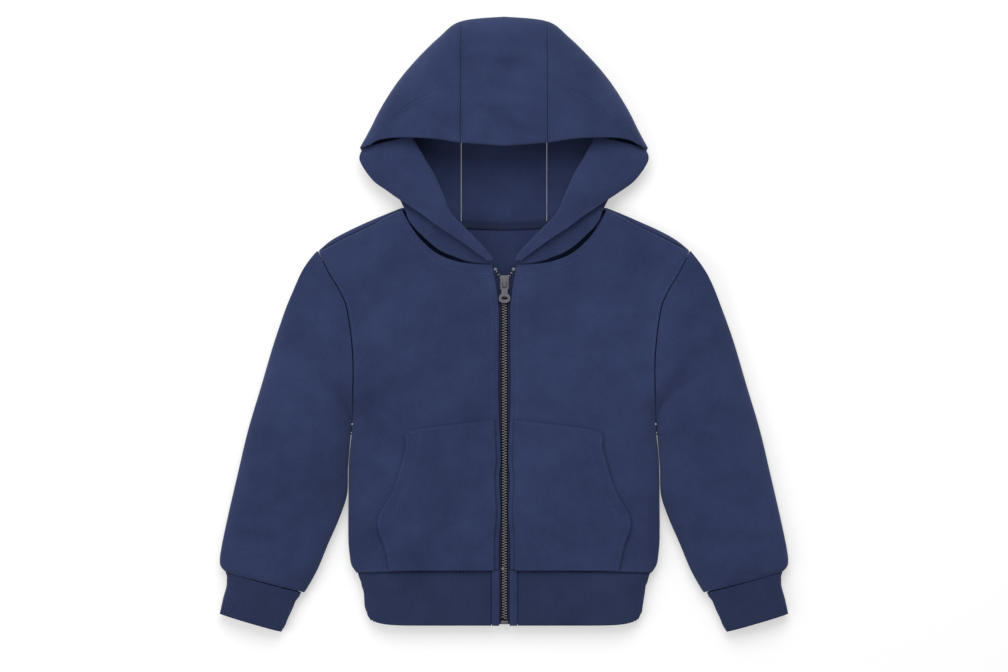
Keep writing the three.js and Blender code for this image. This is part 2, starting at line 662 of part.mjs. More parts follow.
const ZIP_TOP_Y = 53; // top stops
const SLIDER_Y = 40; // middle of the slider
const SLIDER_LONG = 13;
const CHAIN_END_Y = -281;
const CHAIN_SPREAD = 7.6; // how far each chain stands off the centre line at its top
const zipZ = (y) => (y > HEM_Y ? crownAt(y) : mix(crownAt(HEM_Y), WAIST[3].high + 0.4, (HEM_Y - y) / (HEM_Y - RIB_END_Y)));

/** Distance of the middle of one chain from the zip's centre line. */
const chainX = (y) => CHAIN_HALF + SEAM / 2 + CHAIN_SPREAD * smooth((y - SLIDER_Y + 2) / (ZIP_TOP_Y - SLIDER_Y + 2)) ** 1.2;

const zipStations = [...even(7).map((t) => mix(ZIP_TOP_Y - 2.6, SLIDER_Y - SLIDER_LONG / 2, t)), ...even(14).slice(1).map((t) => mix(SLIDER_Y - SLIDER_LONG / 2, CHAIN_END_Y, t))];
const zipPlaces = zipStations.map((y) => (zipStations[0] - y) / (zipStations[0] - CHAIN_END_Y));
const zipY = (u) => mix(zipStations[0], CHAIN_END_Y, u);

for (const { word, sign } of SIDES) {
  const chain = (u, v) => {
    const y = zipY(u);
    const x = chainX(y) + mix(-CHAIN_HALF, CHAIN_HALF, v);
    return [sign * x + ZIP_X, y, zipZ(y) - CHAIN_DROP];
  };
  add(`zip_chain_${word}`, wallOf(chain, zipPlaces, even(1), CHAIN_DEEP, [0.5, 0.5, 1]), METAL);
  const tape = (u, v) => {
    const y = zipY(u);
    const x = chainX(y) + CHAIN_HALF + SEAM + v * TAPE_WIDE;
    const settled = Math.min(zipZ(y), y > HEM_Y ? frontZ(x, y) : zipZ(y));
    return [sign * x + ZIP_X, y, settled - CHAIN_DROP - (CHAIN_DEEP - TAPE_WALL) / 2];
  };
  add(`zip_tape_${word}`, wallOf(tape, zipPlaces, even(1), TAPE_WALL, [0.5, 0.5, 1]), TAPE);
  const stopY = ZIP_TOP_Y - 2.3;
  const stopX = sign * chainX(stopY) + ZIP_X;
  const stopZ = zipZ(stopY) - CHAIN_DROP;
  add(`zip_stop_${word}`, block([stopX - 1.8, stopY, stopZ - 2.8], [stopX + 1.8, stopY + 3, stopZ + 0.4]), METAL);
}

const boxTop = zipZ(CHAIN_END_Y) - CHAIN_DROP + 0.4;
add('zip_box', block([ZIP_X - 3.8, -284.8, boxTop - 3.6], [ZIP_X + 3.8, CHAIN_END_Y - SEAM, boxTop]), METAL);

// Slider: two plates joined by the post that parts the chains, with a bail on top.
const SLIDER_HALF = 4.1;
const PLATE = 1.2;
const faceZ = zipZ(SLIDER_Y);
const chainTop = faceZ - CHAIN_DROP;
const sliderLow = SLIDER_Y - SLIDER_LONG / 2;
const sliderHigh = SLIDER_Y + SLIDER_LONG / 2;
const upperPlate = [chainTop + SEAM, chainTop + SEAM + PLATE];
const lowerPlate = [chainTop - CHAIN_DEEP - SEAM - PLATE, chainTop - CHAIN_DEEP - SEAM];
const BAIL_HALF = 1.3;
const PIN = 1; // half thickness of the bail's cross bar
const hingeY = SLIDER_Y - 1;
const hingeZ = upperPlate[1] + SEAM + PIN + 0.4;
const bailTop = hingeZ + PIN + 2.3;
const sliderParts = [
  block([ZIP_X - SLIDER_HALF, sliderLow, upperPlate[0]], [ZIP_X + SLIDER_HALF, sliderHigh, upperPlate[1]]),
  block([ZIP_X - SLIDER_HALF, sliderLow, lowerPlate[0]], [ZIP_X + SLIDER_HALF, sliderHigh, lowerPlate[1]]),
  block([ZIP_X - 0.8, sliderHigh - 3.2, lowerPlate[0] + 0.2], [ZIP_X + 0.8, sliderHigh - 0.2, upperPlate[1] - 0.2]),
  block([ZIP_X - BAIL_HALF, hingeY + 3.2, upperPlate[0] + 0.2], [ZIP_X + BAIL_HALF, hingeY + 4.8, bailTop]),
  block([ZIP_X - BAIL_HALF, hingeY - 2.9, upperPlate[0] + 0.2], [ZIP_X + BAIL_HALF, hingeY - 1.6, bailTop]),
  block([ZIP_X - BAIL_HALF, hingeY - 2.9, bailTop - 1.2], [ZIP_X + BAIL_HALF, hingeY + 4.8, bailTop]),
].map(solid);
add('zip_slider', geometryOf(sliderParts.reduce((whole, piece) => whole.add(piece))), METAL);

// Pull tab: a flat tab with an eye round the bail, and an oval hole near its wide end.
const TAB_END_Y = 20.4;
const TAB_THICK = 1.4;
const EYE_HALF = 1.9; // half width of the eye that the bail passes through
const tab = new THREE.Shape();
const tabTopY = hingeY + 2.4;
const TAB_NECK_HALF = 3.2;
const TAB_WIDE_HALF = 5.4;
tab.moveTo(-TAB_NECK_HALF, tabTopY);
tab.lineTo(-TAB_NECK_HALF + 0.2, TAB_END_Y + 9);
tab.quadraticCurveTo(-TAB_WIDE_HALF, TAB_END_Y + 7, -TAB_WIDE_HALF, TAB_END_Y + 4);
tab.quadraticCurveTo(-TAB_WIDE_HALF, TAB_END_Y, 0, TAB_END_Y);
tab.quadraticCurveTo(TAB_WIDE_HALF, TAB_END_Y, TAB_WIDE_HALF, TAB_END_Y + 4);
tab.quadraticCurveTo(TAB_WIDE_HALF, TAB_END_Y + 7, TAB_NECK_HALF - 0.2, TAB_END_Y + 9);
tab.lineTo(TAB_NECK_HALF, tabTopY);
tab.closePath();
const hole = new THREE.Path();
hole.absellipse(0, TAB_END_Y + 4.4, 3, 1.7, 0, Math.PI * 2, true);
tab.holes.push(hole);
const eye = new THREE.Path();
const [eyeLow, eyeHigh] = [hingeY - 4.9, hingeY + 1];
eye.moveTo(-EYE_HALF, eyeLow);
eye.lineTo(-EYE_HALF, eyeHigh);
eye.lineTo(EYE_HALF, eyeHigh);
eye.lineTo(EYE_HALF, eyeLow);
eye.closePath();
tab.holes.push(eye);
const tabGeometry = new THREE.ExtrudeGeometry(tab, { depth: TAB_THICK, bevelEnabled: false, curveSegments: 8 });
tabGeometry.translate(ZIP_X, 0, hingeZ - TAB_THICK / 2);
add('zip_pull', tabGeometry, METAL);

export default garment;
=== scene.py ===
"""A toddler's zip-up hooded sweatshirt laid flat, as fine cloth, rib, stitching and zip."""

import bmesh
import bpy
import numpy as np
from bpy.props import FloatProperty, FloatVectorProperty, PointerProperty
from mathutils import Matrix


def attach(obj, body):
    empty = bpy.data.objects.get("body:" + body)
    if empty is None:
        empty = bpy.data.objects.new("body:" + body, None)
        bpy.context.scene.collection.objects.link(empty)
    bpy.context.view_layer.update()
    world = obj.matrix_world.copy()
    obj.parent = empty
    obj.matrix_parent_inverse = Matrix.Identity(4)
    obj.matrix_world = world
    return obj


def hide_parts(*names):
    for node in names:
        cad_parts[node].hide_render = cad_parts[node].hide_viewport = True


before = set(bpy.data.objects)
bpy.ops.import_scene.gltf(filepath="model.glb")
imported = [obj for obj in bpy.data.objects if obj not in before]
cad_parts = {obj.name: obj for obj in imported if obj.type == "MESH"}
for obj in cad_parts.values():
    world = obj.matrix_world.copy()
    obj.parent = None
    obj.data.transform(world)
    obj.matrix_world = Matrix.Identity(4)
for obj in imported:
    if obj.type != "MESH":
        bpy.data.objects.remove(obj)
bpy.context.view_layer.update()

bl_info = {
    "name": "Flat hooded sweatshirt",
    "version": (1, 0, 0),
    "blender": (4, 5, 0),
    "location": "3D View > Sidebar > Sweatshirt",
    "description": "Makes a zip-up hooded sweatshirt laid flat",
    "category": "Object",
}

MM = 0.001
GARMENT = "garment"
PULL = "pull_tab"

# ---------------------------------------------------------------- tables, in millimetres


def table(names, rows):
    """Named columns from rows, one row for each section."""
    return dict(zip(names.split(), np.array(rows, float).T))


CROWN = table("y z", [(-236, 18.5), (-170, 22), (-60, 24), (50, 22), (115, 22)])
SIDE = table("y x", [(-236, 140.7), (-229, 145.2), (-220, 146.9), (-205, 148.2), (-165, 148.1),
                     (-130, 147.6), (-94, 144)])
ARMHOLE = table("y x", [(-94, 144), (-60.3, 142.6), (-33.7, 142.6), (-10.9, 144.4), (6.2, 146.8),
                        (19.5, 149.6), (33.7, 156.3), (47, 164.4), (59.4, 171), (70.3, 177)])
SHOULDER = table("x y inset", [(97.5, 111.4, 2.3), (110, 106.4, 2.3), (127, 99.2, 4.6),
                               (148, 89.6, 5), (165, 80.2, 4.4), (177, 70.3, 1)])
NECK = table("x y", [(12, 56.5), (31, 57.5), (47, 60.3), (65, 67.9), (81, 82.2), (92, 98.3), (97.5, 108.8)])
BACK_NECK = table("x y", [(0, 93.6), (41.3, 95.5), (60, 98.5), (78, 104.5), (88, 111), (97.5, 125.7)])
ZIP_GAP = table("y half", [(-236, 4.6), (-207, 4.4), (-178, 2.6), (-145, 4.2), (-130, 2.6), (-72, 4.8),
                           (16, 4.6), (33, 6.4), (46, 8.6), (57, 11)])
SLEEVE = table("out_x out_y in_x in_y high", [
    (177.35, 70, 144.7, -94, 24), (192.5, 48, 145.2, -99, 26), (206, 18, 145.9, -107, 27),
    (218.8, -17, 147, -119, 27), (231, -58, 148.4, -138, 27), (243.8, -101, 149.4, -162, 26),
    (254, -144, 157, -185, 25), (263, -183, 166.6, -207, 24), (269.4, -214, 177, -232, 23),
    (270.4, -228, 185.6, -248, 22), (266, -234.6, 190, -254.8, 19)])
CUFF = table("out_x out_y in_x in_y high", [
    (264.8, -235.3, 192.8, -255.4, 19), (263.8, -246, 199.6, -266, 19),
    (267.6, -261, 205, -279, 18.5), (270.9, -275, 211.6, -292.4, 18)])
WAIST = table("y x high", [(-236.4, 139.6, 17.6), (-253, 134.6, 17.6), (-272, 132.2, 17.2), (-286, 127.5, 16.6)])
POCKET = table("x y", [(11.5, -90.7), (50.8, -95), (90, -101.6), (94, -119.8), (105, -155.3),
                       (120, -185), (113.5, -209.5), (109, -231)])
HOOD = table("brim_x brim_y fold_x fold_y rear_x rear_y high", [
    (0, 167.7, 0, 292.8, 0, 94.5, 46), (41, 170.8, 41, 288.4, 41, 97.2, 47),
    (60, 173.8, 62, 273, 59.5, 101.8, 45), (77, 175.5, 84, 251.3, 76, 108.8, 42),
    (94, 176.2, 102, 229.6, 95, 117.5, 38), (108, 176, 117, 206, 107, 126, 33),
    (120, 174, 128, 184.5, 118, 135, 27), (127, 170, 137, 168, 126, 144, 23)])
TURN = table("edge_x edge_y edge_z roll_x roll_y roll_z foot_x foot_y foot_z", [
    (134, 168, 13, 90, 178, 22, 124, 160, 5),
    (137, 156, 18, 80, 160, 25, 122, 151, 4), (125, 137.4, 18, 69, 141, 28, 112, 138, 4),
    (109, 125.4, 19, 61, 123, 30, 101, 123, 6), (94.5, 115.6, 22, 54, 107.5, 31, 93.5, 108, 14),
    (80, 106, 29, 48, 100, 31, 88.7, 97, 19), (61, 92, 34, 40.5, 92, 31, 77, 84.4, 20),
    (43.5, 80.5, 34, 31.5, 82.5, 30, 61.4, 71.4, 20), (31, 71.5, 32, 23, 73.2, 28.5, 45, 64.2, 20),
    (21.5, 64.5, 29.5, 17, 65.8, 26, 31, 60, 20), (15, 60.4, 28, 13.6, 60.6, 24, 16.4, 58.8, 20)])

# Soft creases on the front: middle, half length, direction in degrees, depth, half width.
CREASES = table("x y long turn deep wide", [
    (-98, -63, 40, 30, 1.3, 9), (107, -68, 42, -30, 1.4, 10), (70, -190, 46, -58, 1.2, 10),
    (28, -206, 26, -60, 1.0, 7), (-64, -205, 34, 48, 0.8, 9), (-60, 20, 44, 62, 0.7, 12),
    (58, 8, 40, -66, 0.8, 12), (-120, 20, 30, 70, 0.8, 9), (122, 26, 30, -70, 0.7, 9),
    (100, -150, 34, -66, 0.8, 9)])
SLEEVE_CREASES = table("x y long turn deep wide", [
    (180, -40, 34, 62, 1.1, 9), (205, -110, 30, 20, 0.9, 9), (214, -170, 34, -24, 1.0, 8),
    (236, -205, 26, 12, 1.1, 7), (160, -60, 26, 70, 0.9, 7), (210, -232, 20, 60, 0.8, 5)])
HOOD_CREASES = table("x y long turn deep wide", [
    (0, 243, 34, 0, 1.4, 7), (4, 219, 36, -4, 1.2, 6), (-8, 200, 26, 5, 0.9, 5), (10, 186, 22, -24, 0.9, 5),
    (-80, 215, 34, 52, 0.9, 9), (84, 210, 34, -52, 0.8, 9)])

CLOTH, RIB_WALL, TAPE_WALL, SEAM, ARM_SEAM, SHOULDER_SEAM = 2.0, 2.6, 1.0, 0.35, 1.0, 1.3
FOLD_Z, TOP_ROUND, UNDER_ROUND = 9.0, 25.0, 14.0
ARMPIT_Y, PIT_FLARE, PIT_RISE, PIT_FALL = -94.0, 0.02, 5.0, 0.7
SHOULDER_COS, HEM_Y, HEM_BOW, ZIP_X = 0.885, -232.7, 3.1, 0.5
HOOD_FOLD_Z, HOOD_ROUND, HOOD_SEAM, ROLL = 12.0, 15.0, 1 / 7, 3.4
NECK_SHARE, ARM_SHARE = 0.55, 0.55
STITCH = 2.7  # pitch of the topstitching
RIB_PITCH = 2.9  # pitch of the rib knit

# ---------------------------------------------------------------- small maths


def clamp(value, low, high):
    return np.minimum(np.maximum(value, low), high)


def mix(a, b, t):
    return a + (b - a) * t


def smooth(t):
    t = clamp(t, 0, 1)
    return t * t * (3 - 2 * t)


def rise(t):
    """Quarter circle from 0 at a fold to 1 at its far end: the root of 1 - (1 - t) squared."""
    return np.sqrt(1 - (1 - clamp(t, 0, 1)) ** 2)


def hermite(a, slope_a, b, slope_b, t):
    """Cubic from a to b over a span of one, with the slopes given at both ends."""
    return a + (b - a) * t * t * (3 - 2 * t) + slope_a * t * (1 - t) ** 2 - slope_b * t * t * (1 - t)


def between(rows, place):
    """Every column at places from 0 to 1 along the rows, as a smooth cubic."""
    last = len(next(iter(rows.values()))) - 1
    at = clamp(np.asarray(place, float), 0, 1) * last
    i = np.minimum(at.astype(int), last - 1)
    out = {}
    for name, col in rows.items():
        a, b, c, d = (col[np.clip(i + k, 0, last)] for k in (-1, 0, 1, 2))
        out[name] = hermite(b, (c - a) / 2, c, (d - b) / 2, at - i)
    return out


def along(rows, key, column, value):
    """One column where another, rising, column reaches a value, as a smooth cubic."""
    keys, col = rows[key], rows[column]
    last = len(keys) - 1
    i = np.clip(np.searchsorted(keys, value, side="right") - 1, 0, last - 1)

    def slope(k):
        a, b = np.maximum(k - 1, 0), np.minimum(k + 1, last)
        return (col[b] - col[a]) / (keys[b] - keys[a])

    span = keys[i + 1] - keys[i]
    t = clamp((value - keys[i]) / span, 0, 1)
    return hermite(col[i], slope(i) * span, col[i + 1], slope(i + 1) * span, t)


def patch(top, foot, near, far, u, v):
    """Plan point between four edges: the sum of both lofts less the corners' blend."""
    one, zero = np.ones_like(u), np.zeros_like(u)
    t, f, n, r = top(u), foot(u), near(v), far(v)
    c00, c10, c01, c11 = top(zero), top(one), foot(zero), foot(one)
    return [(1 - v) * t[k] + v * f[k] + (1 - u) * n[k] + u * r[k]
            - ((1 - u) * (1 - v) * c00[k] + u * (1 - v) * c10[k] + (1 - u) * v * c01[k] + u * v * c11[k])
            for k in (0, 1)]


def stack(x, y, z):
    return np.stack(np.broadcast_arrays(x, y, z), axis=-1).astype(float)


def gathered_last(count):
    return np.sin(np.linspace(0, np.pi / 2, count + 1))


def ripples(x, y, seed, size, count=7):
    """Soft unevenness: a sum of sine waves of about one size in seeded directions."""
    rng = np.random.default_rng(seed)
    total = np.zeros(np.broadcast(x, y).shape)
    for turn, scale, phase in zip(rng.uniform(0, np.pi, count), rng.uniform(0.6, 1.6, count),
                                  rng.uniform(0, 6.28, count)):
        total = total + np.sin((x * np.cos(turn) + y * np.sin(turn)) * 6.28 / (size * scale) + phase)
    return total / count


def creased(rows, x, y):
    """Troughs with a low ridge beside each: a Gaussian across, fading to the ends along."""
    depth = np.zeros(np.broadcast(x, y).shape)
    for i in range(len(rows["x"])):
        turn = np.radians(rows["turn"][i])
        dx, dy = x - rows["x"][i], y - rows["y"][i]
        run = (dx * np.cos(turn) + dy * np.sin(turn)) / rows["long"][i]
        off = (-dx * np.sin(turn) + dy * np.cos(turn)) / rows["wide"][i] + 0.35 * np.sin(2.2 * run)
        depth += rows["deep"][i] * (0.75 * np.exp(-(off - 1.5) ** 2) - np.exp(-off ** 2)) * np.exp(-run ** 4)
    return depth


# ---------------------------------------------------------------- meshes


def mesh_object(name, points, faces, uv=None, shade=True):
    """A mesh object at the origin from points in millimetres and quads or triangles."""
    mesh = bpy.data.meshes.new(name)
    mesh.from_pydata((points * MM).tolist(), [], faces.tolist())
    if uv is not None:
        layer = mesh.uv_layers.new(name="UVMap")
        loops = np.empty(len(mesh.loops), int)
        mesh.loops.foreach_get("vertex_index", loops)
        layer.data.foreach_set("uv", (uv[loops] * MM).ravel())
    mesh.polygons.foreach_set("use_smooth", np.full(len(mesh.polygons), shade))
    mesh.validate()
    mesh.update()
    piece = bpy.data.objects.new(name, mesh)
    bpy.context.scene.collection.objects.link(piece)
    return piece


def frame_of(surface, u, v):
    """Points of a surface and its unit normals, from central differences of the parameters."""
    near = 1e-4
    du = surface(np.minimum(u + near, 1), v) - surface(np.maximum(u - near, 0), v)
    dv = surface(u, v + near) - surface(u, v - near)
    normal = np.cross(du, dv)
    normal /= np.maximum(np.linalg.norm(normal, axis=-1, keepdims=True), 1e-12)
    return surface(u, v), normal


def wall(name, surface, us, vs, thick, probe, relief=None, around=False):
    """
    A closed wall behind a surface: the outer grid moved out by the relief, the inner grid set
    back by the thickness along the normals, and rims joining their edges. `probe` is a place
    on the grid and the sign that the outward normal's z has there.
    """
    u, v = np.meshgrid(us, vs, indexing="ij")
    limit = (lambda value: value) if around else (lambda value: clamp(value, 0, 1))
    points, normals = frame_of(lambda a, b: surface(a, limit(b)), u, v)
    row, col, sign = probe
    sign = np.sign(normals[int(row * (len(us) - 1)), int(col * (len(vs) - 1)), 2]) * sign
    normals = normals * sign
    if relief is not None:
        points = points + normals * relief(points, u, v)[..., None]
    inner = points - normals * thick
    lengths = np.linalg.norm(np.diff(points, axis=0), axis=-1).sum(0).mean()
    widths = np.linalg.norm(np.diff(points, axis=1), axis=-1).sum(1).mean()
    uv = np.stack([u * lengths, v * widths], -1).reshape(-1, 2)
    rows, cols = u.shape
    ids = np.arange(rows * cols).reshape(rows, cols)
    if around:
        ids = np.concatenate([ids, ids[:, :1]], axis=1)
    a, b, c, d = ids[:-1, :-1], ids[1:, :-1], ids[1:, 1:], ids[:-1, 1:]
    quads = np.stack([a, b, c, d], -1).reshape(-1, 4)
    low = rows * cols
    faces = [quads, quads[:, ::-1] + low]
    edges = [(ids[0, 1:], ids[0, :-1]), (ids[-1, :-1], ids[-1, 1:])]
    if not around:
        edges += [(ids[:-1, 0], ids[1:, 0]), (ids[1:, -1], ids[:-1, -1])]
    for start, end in edges:
        faces.append(np.stack([end, start, start + low, end + low], -1))
    faces = np.concatenate(faces)
    if sign < 0:
        faces = faces[:, ::-1]
    both = np.concatenate([points.reshape(-1, 3), inner.reshape(-1, 3)])
    return mesh_object(name, both, faces, np.concatenate([uv, uv]))


def bars(name, starts, ends, ups, half_wide, half_thick):
    """Many short six-sided bars from starts to ends, domed on the side that the ups point to."""
    way = ends - starts
    way /= np.maximum(np.linalg.norm(way, axis=1, keepdims=True), 1e-9)
    side = np.cross(way, ups)
    side /= np.maximum(np.linalg.norm(side, axis=1, keepdims=True), 1e-9)
    up = np.cross(side, way)
    ring = np.radians([0, 60, 120, 180, 240, 300])
    offsets = np.cos(ring)[None, :, None] * side[:, None] * half_wide
    offsets = offsets + np.sin(ring)[None, :, None] * up[:, None] * half_thick
    stations = [(0.0, 0.45), (0.22, 1.0), (0.78, 1.0), (1.0, 0.45)]
    points = np.stack([mix(starts, ends, t)[:, None] + offsets * k for t, k in stations], 1)
    one = []
    for s in range(3):
        for j in range(6):
            k = (j + 1) % 6
            one.append([s * 6 + j, s * 6 + k, (s + 1) * 6 + k, (s + 1) * 6 + j])
    one += [[3, 2, 1, 0], [5, 4, 3, 0], [18, 19, 20, 21], [18, 21, 22, 23]]
    faces = (np.array(one)[None] + (np.arange(len(starts)) * 24)[:, None, None]).reshape(-1, 4)
    piece = mesh_object(name, points.reshape(-1, 3), faces)
    tidy = bmesh.new()
    tidy.from_mesh(piece.data)
    bmesh.ops.recalc_face_normals(tidy, faces=tidy.faces)
    tidy.to_mesh(piece.data)
    tidy.free()
    return piece


def resample(path, pitch):
    """Points at even steps along a polyline."""
    run = np.concatenate([[0], np.cumsum(np.linalg.norm(np.diff(path, axis=0), axis=1))])
    at = np.arange(pitch / 2, run[-1], pitch)
    return np.stack([np.interp(at, run, path[:, k]) for k in range(path.shape[1])], 1)


def stitches(name, paths, lift):
    """Topstitching: thread bars that fill three quarters of each pitch along surface paths."""
    starts, ends, ups = [], [], []
    for path, normal in paths:
        both = resample(np.concatenate([path, normal], 1), STITCH)
        spot, up = both[:, :3], both[:, 3:]
        way = np.gradient(spot, axis=0)
        way /= np.linalg.norm(way, axis=1, keepdims=True)
        starts.append(spot - way * STITCH * 0.37 + up * lift)
        ends.append(spot + way * STITCH * 0.37 + up * lift)
        ups.append(up)
    return bars(name, np.concatenate(starts), np.concatenate(ends), np.concatenate(ups), 0.34, 0.3)


# ---------------------------------------------------------------- the garment's surfaces


def crown_at(y):
    return along(CROWN, "y", "z", y)


def shoulder_y(x):
    return along(SHOULDER, "x", "y", np.abs(x))


def from_side(x, y):
    fade = PIT_FLARE * np.maximum(y - ARMPIT_Y, 0) ** 2
    return along(SIDE, "y", "x", np.minimum(y, ARMPIT_Y)) + fade - np.abs(x)


def from_shoulder(x, y):
    return (shoulder_y(x) - y) * SHOULDER_COS


def front_z(x, y):
    """Height of the front's face: the fold's height, up to the crown by two quarter circles."""
    up = rise(from_side(x, y) / TOP_ROUND) * rise(from_shoulder(x, y) / TOP_ROUND)
    return mix(FOLD_Z, crown_at(y), up)


def under_z(x, y):
    """Height of the under face: the fold's height, down to the table by two quarter circles."""
    down = rise(from_side(x, y) / UNDER_ROUND) * rise(from_shoulder(x, y) / UNDER_ROUND)
    return mix(FOLD_Z, 0, down)


SIDE_END_X, SIDE_END_Y = SIDE["x"][0], SIDE["y"][0]


def hem_y(x):
    return HEM_Y - HEM_BOW * (x / SIDE_END_X) ** 2


def shoulder_seam_y(x):
    return shoulder_y(x) - along(SHOULDER, "x", "inset", x) / SHOULDER_COS


def side_edge(v):
    """Side of a panel: the armhole down to the armpit, then the side fold down to the rib."""
    arm_y = mix(shoulder_seam_y(np.array(177.0)), ARMPIT_Y, v / ARM_SHARE)
    low_y = mix(ARMPIT_Y, SIDE_END_Y, (v - ARM_SHARE) / (1 - ARM_SHARE))
    arm = v < ARM_SHARE
    return [np.where(arm, along(ARMHOLE, "y", "x", arm_y), along(SIDE, "y", "x", low_y)),
            np.where(arm, arm_y, low_y)]


def top_edge(neck, shoulder, u):
    """Top of a panel: the neck seam, then the shoulder seam."""
    row = between(neck, u / NECK_SHARE)
    x = mix(97.5, 177.0, (u - NECK_SHARE) / (1 - NECK_SHARE))
    on_neck = u < NECK_SHARE
    return [np.where(on_neck, row["x"], x), np.where(on_neck, row["y"], shoulder(x))]


def front_fold(v):
    y = mix(56.5, HEM_Y, v)
    return [1 + along(ZIP_GAP, "y", "half", y), y]


def front_plan(u, v):
    foot_x = lambda t: mix(front_fold(np.ones_like(t))[0], SIDE_END_X, t)
    return patch(lambda t: top_edge(NECK, shoulder_seam_y, t), lambda t: [foot_x(t), hem_y(foot_x(t))],
                 front_fold, side_edge, u, v)


def front_surface(sign):
    def surface(u, v):
        x, y = front_plan(u, v)
        return stack(sign * x + (1 - u) * ZIP_X, y, front_z(x, y) + SEAM / 2)
    return surface


def on_front(xs, ys, lift=0.0):
    """A path on the front's face, with its normals from the slope of the height."""
    xs, ys = np.asarray(xs, float), np.asarray(ys, float)
    step = 0.5
    slope_x = (front_z(xs + step, ys) - front_z(xs - step, ys)) / (2 * step)
    slope_y = (front_z(xs, ys + step) - front_z(xs, ys - step)) / (2 * step)
    normal = np.stack([-slope_x, -slope_y, np.ones_like(xs)], 1)
    normal /= np.linalg.norm(normal, axis=1, keepdims=True)
    path = np.stack([xs, ys, front_z(xs, ys) + SEAM / 2 + front_relief(xs, ys)], 1)
    return path + normal * lift, normal


def front_relief(x, y):
    """Unevenness of the fronts: creases, slow waves, and puckers along hem, neck and zip."""
    gap = np.abs(np.abs(x) - along(ZIP_GAP, "y", "half", y) - 4)
    zip_pucker = 0.45 * np.exp(-(gap / 6) ** 2) * ripples(x * 0.1, y, 3, 13)
    hem = 0.4 * np.exp(-((y - hem_y(x)) / 8) ** 2) * ripples(x, y * 0.1, 4, 11)
    neck = np.exp(-(np.minimum(np.abs(along(NECK, "x", "y", np.abs(x)) - 6 - y), 40) / 5) ** 2)
    neck = np.where(y > 40, neck, 0) * 0.4 * ripples(x, y, 5, 8)
    inside = smooth(from_side(x, y) / 14)
    return inside * (creased(CREASES, x, y) + 0.55 * ripples(x, y, 2, 62) + zip_pucker + hem + neck)


UNDER_ARC = (np.pi / 2) * np.hypot(UNDER_ROUND, FOLD_Z) / np.sqrt(2)
TOP_ARC = (np.pi / 2) * np.hypot(TOP_ROUND, crown_at(np.array(99.2)) - FOLD_Z) / np.sqrt(2)
UNDER_SPARE = UNDER_ARC - UNDER_ROUND


def back_shoulder_y(x):
    angle = np.arccos(1 - along(SHOULDER, "x", "inset", x) / TOP_ROUND)
    return shoulder_y(x) + (TOP_ARC * angle / (np.pi / 2) - SHOULDER_SEAM + UNDER_SPARE) / SHOULDER_COS


def back_surface(u, v):
    """The back, worked out rolled flat and then turned over the shoulder fold."""
    s = 2 * u - 1
    half = np.abs(s)
    spare = top_edge(BACK_NECK, back_shoulder_y, np.array(1.0))[1] - side_edge(np.array(0.0))[1]

    def far(t):
        x, y = side_edge(t)
        return [x, y + spare * (1 - smooth(t / 0.12))]

    x, y = patch(lambda t: top_edge(BACK_NECK, back_shoulder_y, t),
                 lambda t: [t * SIDE_END_X, hem_y(t * SIDE_END_X)],
                 lambda t: [np.zeros_like(t), mix(BACK_NECK["y"][0], HEM_Y, t)], far, half, v)
    arc = (shoulder_y(x) - y) * SHOULDER_COS + UNDER_SPARE
    angle = (np.pi / 2) * np.where(arc < 0, -arc / TOP_ARC, clamp(arc / UNDER_ARC, 0, 1))
    reach = np.where(arc < 0, TOP_ROUND, UNDER_ROUND) * (1 - np.cos(angle))
    turned_z = np.where(arc < 0, mix(FOLD_Z, crown_at(y), np.sin(angle)), mix(FOLD_Z, 0, np.sin(angle)))
    flat = arc >= UNDER_ARC
    return stack(np.sign(s) * x, np.where(flat, y, shoulder_y(x) - reach / SHOULDER_COS),
                 np.where(flat, under_z(x, y) - SEAM / 2, turned_z))


def flat_tube(rows, sign, armhole):
    """A flattened tube: the first half turn runs over the top, the second comes back beneath."""
    def surface(u, v):
        turn = np.mod(v, 1.0)
        over = turn < 0.5
        s = (1 - np.cos(2 * np.pi * turn)) / 2
        row = between(rows, u)
        x, y = mix(row["out_x"], row["in_x"], s), mix(row["out_y"], row["in_y"], s)
        wide = np.hypot(row["out_x"] - row["in_x"], row["out_y"] - row["in_y"])
        settled = smooth(u / 0.35) if armhole else np.ones_like(u)
        if armhole:
            seam_y = mix(rows["out_y"][0], rows["in_y"][0], s)
            chord_x = mix(rows["out_x"][0], rows["in_x"][0], s)
            x = x + (along(ARMHOLE, "y", "x", seam_y) + ARM_SEAM - chord_x) * (1 - settled)
        swell = np.sqrt(np.maximum(1 - np.abs(2 * s - 1) ** 2.4, 0))
        fall = rise(np.minimum(s, 1 - s) * wide / UNDER_ROUND)
        tube_z = np.where(over, mix(FOLD_Z, row["high"], swell), mix(FOLD_Z, 0, fall))
        top_z = np.maximum(front_z(x - ARM_SEAM, y), FOLD_Z + PIT_RISE * swell)
        low_z = np.minimum(under_z(x - ARM_SEAM, y), FOLD_Z * (1 - PIT_FALL * fall))
        return stack(sign * x, y, mix(np.where(over, top_z, low_z), tube_z, settled))
    return surface


def waist_surface(u, v):
    """The waist rib, from the left of the zip, round the back, to the right of the zip."""
    row = between(WAIST, u)
    quarter = clamp(v, 0, 1) * 4
    over = (quarter < 1) | (quarter > 3)
    sign = np.where(quarter < 2, -1.0, 1.0)
    place = np.where(quarter < 2, quarter, 4 - quarter)
    s = np.where(over, np.sin((np.pi / 2) * np.minimum(place, 1)), np.cos((np.pi / 2) * (place - 1)))
    x = mix(np.where(over, 12.6, 0.0), row["x"], s)
    y = row["y"] + (HEM_BOW - HEM_BOW * (x / SIDE_END_X) ** 2) * (1 - u) + 5 * u ** 4 * (x / row["x"]) ** 12
    edge = row["x"] - x
    z = np.where(over, mix(FOLD_Z, row["high"], rise(edge / TOP_ROUND)), mix(FOLD_Z, 0, rise(edge / UNDER_ROUND)))
    return stack(sign * x + np.where(over, ZIP_X * (1 - s), 0), y, z)


